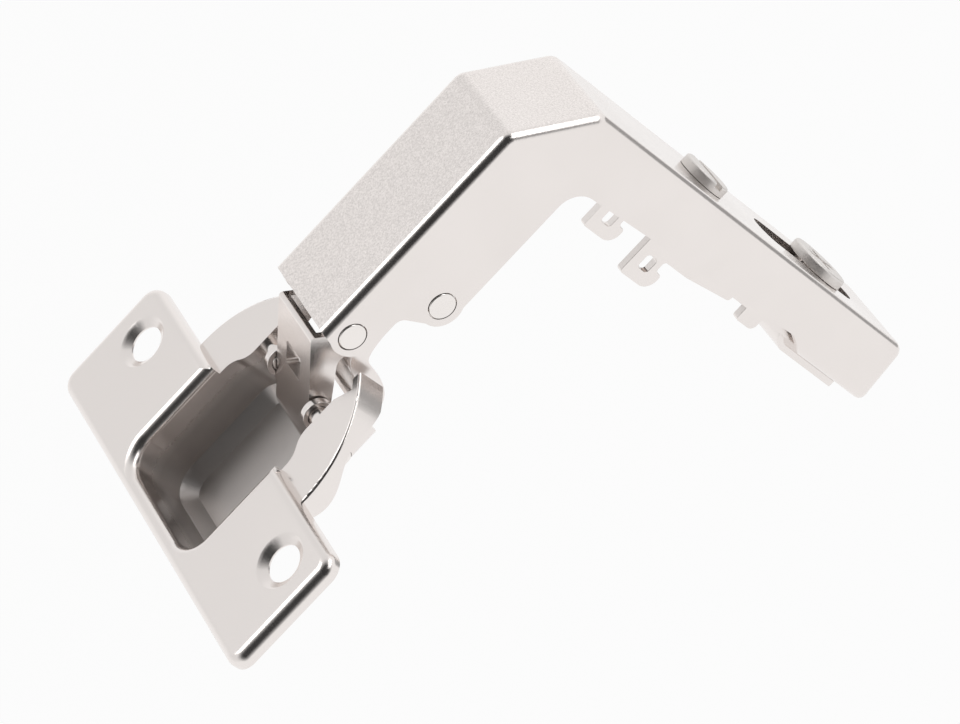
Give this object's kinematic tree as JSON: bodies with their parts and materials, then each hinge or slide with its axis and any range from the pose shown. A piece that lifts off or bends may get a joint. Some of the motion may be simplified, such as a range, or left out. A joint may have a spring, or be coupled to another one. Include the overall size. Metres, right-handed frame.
{
  "type": "concealed cup hinge",
  "caption": "Concealed cup hinge for a blind-corner cabinet door: flanged cup, folding links and a square-cornered clip-on arm with adjusting screws.",
  "frame": {"origin": "midway between the flange's screw holes, on the door face", "axes": "+X out of the cup along the arm's front run, +Y along the hinge pins, +Z out of the door face"},
  "size_m": [0.0789, 0.062, 0.0765],
  "materials": {
    "plated_sheet": "satin nickel plate on pressed steel",
    "plated_pin": "bright nickel plate on turned steel",
    "plated_screw": "bright nickel plate with a grained head",
    "spring_steel": "satin spring steel"
  },
  "bodies": {
    "door_side": {"cup": "plated_sheet", "inner_link_pin": "plated_pin", "outer_link_stud_near": "plated_pin", "outer_link_stud_far": "plated_pin"},
    "inner": {"inner_link": "plated_sheet"},
    "outer": {"outer_link": "plated_sheet"},
    "arm_side": {"arm": "plated_sheet", "front_rivet": "plated_pin", "rear_rivet": "plated_pin", "closing_spring": "spring_steel"},
    "side_screw": {"side_adjust_screw": "plated_screw"},
    "channel": {"base_channel": "plated_sheet", "clip_lever_pin": "plated_pin", "clip_spring": "spring_steel"},
    "depth_screw": {"depth_adjust_screw": "plated_screw"},
    "lever": {"clip_lever": "spring_steel"}
  },
  "joints": [
    {"name": "inner_link_swing", "type": "hinge", "parent": "door_side", "child": "inner", "pos_m": [0.011, 0, -0.0063], "axis": [0, -1, 0], "range_deg": [0, 67.8]},
    {"name": "arm_swing", "type": "hinge", "parent": "inner", "child": "arm_side", "pos_m": [0.0241, 0, 0.0043], "axis": [0, -1, 0], "range_deg": [0, 24.3]},
    {"name": "outer_link_swing", "type": "hinge", "parent": "door_side", "child": "outer", "pos_m": [0.013, 0, -0.0018], "axis": [0, -1, 0], "range_deg": [0, 92.6]},
    {"name": "side_screw_turn", "type": "hinge", "parent": "arm_side", "child": "side_screw", "pos_m": [0.0646, 0, -0.027], "axis": [1, 0, 0], "continuous": true},
    {"name": "channel_slide", "type": "slide", "parent": "arm_side", "child": "channel", "axis": [0, 0, 1], "range_m": [-0.002, 0.002]},
    {"name": "depth_screw_turn", "type": "hinge", "parent": "channel", "child": "depth_screw", "pos_m": [0.0646, 0, -0.0523], "axis": [1, 0, 0], "continuous": true},
    {"name": "lever_press", "type": "hinge", "parent": "channel", "child": "lever", "pos_m": [0.0584, 0, -0.041], "axis": [0, -1, 0], "range_deg": [0, 8], "stiffness_Nm_per_rad": 0.05, "springref_deg": -11.46}
  ],
  "couplings": [
    {"joint": "arm_swing", "follows": "inner_link_swing", "ratio": 0.35693},
    {"joint": "outer_link_swing", "follows": "inner_link_swing", "ratio": 1.3643}
  ]
}
